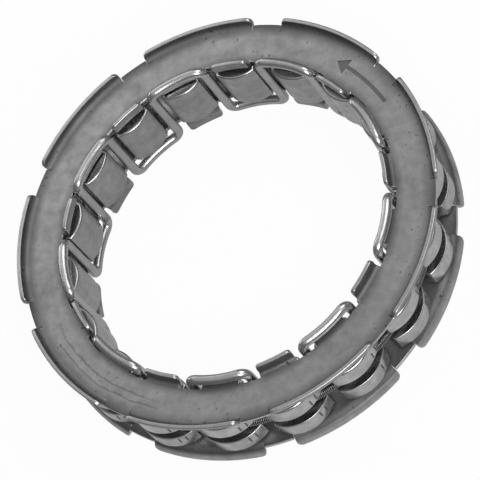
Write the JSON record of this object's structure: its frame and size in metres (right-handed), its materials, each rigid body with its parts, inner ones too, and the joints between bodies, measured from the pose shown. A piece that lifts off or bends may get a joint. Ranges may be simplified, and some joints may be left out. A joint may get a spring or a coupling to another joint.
{
  "type": "sprag clutch",
  "caption": "One-way sprag clutch insert: two lipped pressed rings and a bent wire cage hold rocking sprags, with a garter spring in their heads; fits between a shaft and a round housing.",
  "frame": {"origin": "on the clutch axis, halfway between the two rings", "axes": "+Z along the clutch axis, out of the front ring; +X through the middle of one pair of rim lips; angles rise from +X towards +Y"},
  "size_m": [0.0799, 0.08, 0.0168],
  "materials": {
    "pressed_steel": "satin, mottled grey",
    "drawn_wire": "bright polished",
    "spring_wire": "dark",
    "sprag_steel": "fine ground, satin"
  },
  "bodies": {
    "cage": {"front_ring": "pressed_steel", "rear_ring": "pressed_steel", "cage_wire": "drawn_wire", "garter_spring": "spring_wire"},
    "sprag_01": {"sprag_01": "sprag_steel"},
    "sprag_02": {"sprag_02": "sprag_steel"},
    "sprag_03": {"sprag_03": "sprag_steel"},
    "sprag_04": {"sprag_04": "sprag_steel"},
    "sprag_05": {"sprag_05": "sprag_steel"},
    "sprag_06": {"sprag_06": "sprag_steel"},
    "sprag_07": {"sprag_07": "sprag_steel"},
    "sprag_08": {"sprag_08": "sprag_steel"},
    "sprag_09": {"sprag_09": "sprag_steel"},
    "sprag_10": {"sprag_10": "sprag_steel"},
    "sprag_11": {"sprag_11": "sprag_steel"},
    "sprag_12": {"sprag_12": "sprag_steel"},
    "sprag_13": {"sprag_13": "sprag_steel"},
    "sprag_14": {"sprag_14": "sprag_steel"},
    "sprag_15": {"sprag_15": "sprag_steel"},
    "sprag_16": {"sprag_16": "sprag_steel"},
    "sprag_17": {"sprag_17": "sprag_steel"},
    "sprag_18": {"sprag_18": "sprag_steel"}
  },
  "joints": [
    {"name": "sprag_01_rock", "type": "hinge", "parent": "cage", "child": "sprag_01", "pos_m": [0.03378, 0.00596, 0], "axis": [0, 0, 1], "range_deg": [-7, 3], "stiffness_Nm_per_rad": 0.02, "deforming": ["garter_spring"]},
    {"name": "sprag_02_rock", "type": "hinge", "parent": "cage", "child": "sprag_02", "pos_m": [0.0297, 0.01715, 0], "axis": [0, 0, 1], "range_deg": [-7, 3], "stiffness_Nm_per_rad": 0.02},
    {"name": "sprag_03_rock", "type": "hinge", "parent": "cage", "child": "sprag_03", "pos_m": [0.02205, 0.02627, 0], "axis": [0, 0, 1], "range_deg": [-7, 3], "stiffness_Nm_per_rad": 0.02},
    {"name": "sprag_04_rock", "type": "hinge", "parent": "cage", "child": "sprag_04", "pos_m": [0.01173, 0.03223, 0], "axis": [0, 0, 1], "range_deg": [-7, 3], "stiffness_Nm_per_rad": 0.02},
    {"name": "sprag_05_rock", "type": "hinge", "parent": "cage", "child": "sprag_05", "pos_m": [0, 0.0343, 0], "axis": [0, 0, 1], "range_deg": [-7, 3], "stiffness_Nm_per_rad": 0.02},
    {"name": "sprag_06_rock", "type": "hinge", "parent": "cage", "child": "sprag_06", "pos_m": [-0.01173, 0.03223, 0], "axis": [0, 0, 1], "range_deg": [-7, 3], "stiffness_Nm_per_rad": 0.02},
    {"name": "sprag_07_rock", "type": "hinge", "parent": "cage", "child": "sprag_07", "pos_m": [-0.02205, 0.02627, 0], "axis": [0, 0, 1], "range_deg": [-7, 3], "stiffness_Nm_per_rad": 0.02},
    {"name": "sprag_08_rock", "type": "hinge", "parent": "cage", "child": "sprag_08", "pos_m": [-0.0297, 0.01715, 0], "axis": [0, 0, 1], "range_deg": [-7, 3], "stiffness_Nm_per_rad": 0.02},
    {"name": "sprag_09_rock", "type": "hinge", "parent": "cage", "child": "sprag_09", "pos_m": [-0.03378, 0.00596, 0], "axis": [0, 0, 1], "range_deg": [-7, 3], "stiffness_Nm_per_rad": 0.02},
    {"name": "sprag_10_rock", "type": "hinge", "parent": "cage", "child": "sprag_10", "pos_m": [-0.03378, -0.00596, 0], "axis": [0, 0, 1], "range_deg": [-7, 3], "stiffness_Nm_per_rad": 0.02},
    {"name": "sprag_11_rock", "type": "hinge", "parent": "cage", "child": "sprag_11", "pos_m": [-0.0297, -0.01715, 0], "axis": [0, 0, 1], "range_deg": [-7, 3], "stiffness_Nm_per_rad": 0.02},
    {"name": "sprag_12_rock", "type": "hinge", "parent": "cage", "child": "sprag_12", "pos_m": [-0.02205, -0.02627, 0], "axis": [0, 0, 1], "range_deg": [-7, 3], "stiffness_Nm_per_rad": 0.02},
    {"name": "sprag_13_rock", "type": "hinge", "parent": "cage", "child": "sprag_13", "pos_m": [-0.01173, -0.03223, 0], "axis": [0, 0, 1], "range_deg": [-7, 3], "stiffness_Nm_per_rad": 0.02},
    {"name": "sprag_14_rock", "type": "hinge", "parent": "cage", "child": "sprag_14", "pos_m": [0, -0.0343, 0], "axis": [0, 0, 1], "range_deg": [-7, 3], "stiffness_Nm_per_rad": 0.02},
    {"name": "sprag_15_rock", "type": "hinge", "parent": "cage", "child": "sprag_15", "pos_m": [0.01173, -0.03223, 0], "axis": [0, 0, 1], "range_deg": [-7, 3], "stiffness_Nm_per_rad": 0.02},
    {"name": "sprag_16_rock", "type": "hinge", "parent": "cage", "child": "sprag_16", "pos_m": [0.02205, -0.02627, 0], "axis": [0, 0, 1], "range_deg": [-7, 3], "stiffness_Nm_per_rad": 0.02},
    {"name": "sprag_17_rock", "type": "hinge", "parent": "cage", "child": "sprag_17", "pos_m": [0.0297, -0.01715, 0], "axis": [0, 0, 1], "range_deg": [-7, 3], "stiffness_Nm_per_rad": 0.02},
    {"name": "sprag_18_rock", "type": "hinge", "parent": "cage", "child": "sprag_18", "pos_m": [0.03378, -0.00596, 0], "axis": [0, 0, 1], "range_deg": [-7, 3], "stiffness_Nm_per_rad": 0.02}
  ],
  "couplings": [
    {"joint": "sprag_02_rock", "follows": "sprag_01_rock", "ratio": 1},
    {"joint": "sprag_03_rock", "follows": "sprag_01_rock", "ratio": 1},
    {"joint": "sprag_04_rock", "follows": "sprag_01_rock", "ratio": 1},
    {"joint": "sprag_05_rock", "follows": "sprag_01_rock", "ratio": 1},
    {"joint": "sprag_06_rock", "follows": "sprag_01_rock", "ratio": 1},
    {"joint": "sprag_07_rock", "follows": "sprag_01_rock", "ratio": 1},
    {"joint": "sprag_08_rock", "follows": "sprag_01_rock", "ratio": 1},
    {"joint": "sprag_09_rock", "follows": "sprag_01_rock", "ratio": 1},
    {"joint": "sprag_10_rock", "follows": "sprag_01_rock", "ratio": 1},
    {"joint": "sprag_11_rock", "follows": "sprag_01_rock", "ratio": 1},
    {"joint": "sprag_12_rock", "follows": "sprag_01_rock", "ratio": 1},
    {"joint": "sprag_13_rock", "follows": "sprag_01_rock", "ratio": 1},
    {"joint": "sprag_14_rock", "follows": "sprag_01_rock", "ratio": 1},
    {"joint": "sprag_15_rock", "follows": "sprag_01_rock", "ratio": 1},
    {"joint": "sprag_16_rock", "follows": "sprag_01_rock", "ratio": 1},
    {"joint": "sprag_17_rock", "follows": "sprag_01_rock", "ratio": 1},
    {"joint": "sprag_18_rock", "follows": "sprag_01_rock", "ratio": 1}
  ]
}
